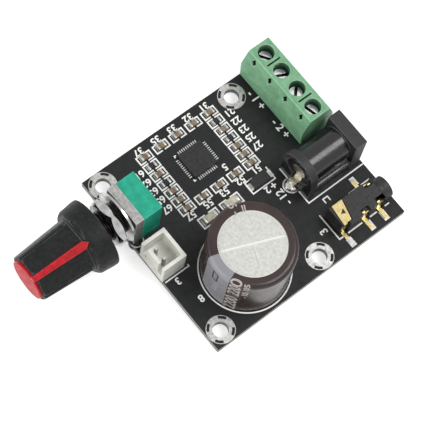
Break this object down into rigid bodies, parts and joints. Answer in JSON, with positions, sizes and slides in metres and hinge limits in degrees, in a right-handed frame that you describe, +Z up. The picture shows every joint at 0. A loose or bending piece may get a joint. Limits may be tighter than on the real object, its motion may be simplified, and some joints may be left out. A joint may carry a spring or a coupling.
{
  "type": "audio amplifier board",
  "caption": "Small black stereo amplifier circuit board with a volume knob, green screw terminals, a power socket, an audio socket, a large capacitor and a shrouded connector.",
  "frame": {"origin": "midway between the two mounting holes at the knob edge, on the board's underside", "axes": "+X along the knob edge to the right, +Y from the knob edge to the connector edge, +Z up out of the component side"},
  "size_m": [0.045, 0.0732, 0.0178],
  "materials": {
    "board_mask": "near-black solder mask over glass laminate, slightly glossy",
    "tin": "bright tin",
    "frame_steel": "plated pressed steel",
    "bushing_metal": "plated",
    "pot_green": "satin moulded",
    "shaft_metal": "turned",
    "rotor_ivory": "moulded",
    "contact_gold": "gold-plated",
    "track_brown": "printed resin board",
    "plated_steel": "bright plated",
    "knob_black": "satin moulded",
    "knob_red": "satin moulded",
    "header_ivory": "moulded",
    "can_aluminium": "drawn and pressed",
    "sleeve_brown": "shrink sleeve",
    "seal_rubber": "moulded",
    "terminal_green": "moulded",
    "contact_tin": "tin-plated",
    "socket_black": "moulded",
    "chip_black": "moulded",
    "ceramic_tan": "sintered"
  },
  "bodies": {
    "board": {"circuit_board": "board_mask", "solder_joints": "tin", "pot_frame": "frame_steel", "pot_bushing": "bushing_metal", "pot_housing": "pot_green", "pot_track": "track_brown", "pot_pins": "tin", "pot_washer": "plated_steel", "pot_nut": "plated_steel", "header_housing": "header_ivory", "header_pins": "tin", "capacitor_can": "can_aluminium", "capacitor_sleeve": "sleeve_brown", "capacitor_seal": "seal_rubber", "capacitor_leads": "tin", "terminal_block_left": "terminal_green", "terminal_block_right": "terminal_green", "terminal_contacts": "contact_tin", "power_housing": "socket_black", "power_pin": "contact_tin", "power_rear_tab": "contact_tin", "power_spring": "contact_tin", "power_switch_contact": "contact_tin", "audio_housing": "socket_black", "audio_top_contact": "contact_gold", "audio_side_contacts": "contact_gold", "amplifier_chip": "chip_black", "amplifier_chip_leads": "tin", "chip_capacitors": "ceramic_tan", "chip_resistors": "chip_black", "chip_ends": "tin", "large_capacitors": "ceramic_tan", "large_capacitor_ends": "tin", "diode_body": "chip_black", "diode_leads": "tin"},
    "volume_shaft": {"pot_shaft": "shaft_metal", "pot_rotor": "rotor_ivory", "pot_wiper": "contact_gold", "knob_body": "knob_black", "knob_pointer": "knob_red"},
    "screw_1": {"terminal_screw_1": "plated_steel"},
    "clamp_1": {"terminal_clamp_1": "plated_steel"},
    "screw_2": {"terminal_screw_2": "plated_steel"},
    "clamp_2": {"terminal_clamp_2": "plated_steel"},
    "screw_3": {"terminal_screw_3": "plated_steel"},
    "clamp_3": {"terminal_clamp_3": "plated_steel"},
    "screw_4": {"terminal_screw_4": "plated_steel"},
    "clamp_4": {"terminal_clamp_4": "plated_steel"}
  },
  "joints": [
    {"name": "volume_turn", "type": "hinge", "parent": "board", "child": "volume_shaft", "pos_m": [-0.0103, -0.0029, 0.0086], "axis": [0, 1, 0], "range_deg": [-172, 128]},
    {"name": "screw_1_turn", "type": "hinge", "parent": "board", "child": "screw_1", "pos_m": [-0.01996, 0.04265, 0.0106], "axis": [0, 0, -1], "range_deg": [0, 1280]},
    {"name": "clamp_1_rise", "type": "slide", "parent": "board", "child": "clamp_1", "axis": [0, 0, 1], "range_m": [0, 0.0016]},
    {"name": "screw_2_turn", "type": "hinge", "parent": "board", "child": "screw_2", "pos_m": [-0.01488, 0.04265, 0.0106], "axis": [0, 0, -1], "range_deg": [0, 1280]},
    {"name": "clamp_2_rise", "type": "slide", "parent": "board", "child": "clamp_2", "axis": [0, 0, 1], "range_m": [0, 0.0016]},
    {"name": "screw_3_turn", "type": "hinge", "parent": "board", "child": "screw_3", "pos_m": [-0.0098, 0.04265, 0.0106], "axis": [0, 0, -1], "range_deg": [0, 1280]},
    {"name": "clamp_3_rise", "type": "slide", "parent": "board", "child": "clamp_3", "axis": [0, 0, 1], "range_m": [0, 0.0016]},
    {"name": "screw_4_turn", "type": "hinge", "parent": "board", "child": "screw_4", "pos_m": [-0.00472, 0.04265, 0.0106], "axis": [0, 0, -1], "range_deg": [0, 1280]},
    {"name": "clamp_4_rise", "type": "slide", "parent": "board", "child": "clamp_4", "axis": [0, 0, 1], "range_m": [0, 0.0016]}
  ],
  "couplings": [
    {"joint": "screw_1_turn", "follows": "clamp_1_rise", "rad_per_m": 13963},
    {"joint": "screw_2_turn", "follows": "clamp_2_rise", "rad_per_m": 13963},
    {"joint": "screw_3_turn", "follows": "clamp_3_rise", "rad_per_m": 13963},
    {"joint": "screw_4_turn", "follows": "clamp_4_rise", "rad_per_m": 13963}
  ]
}
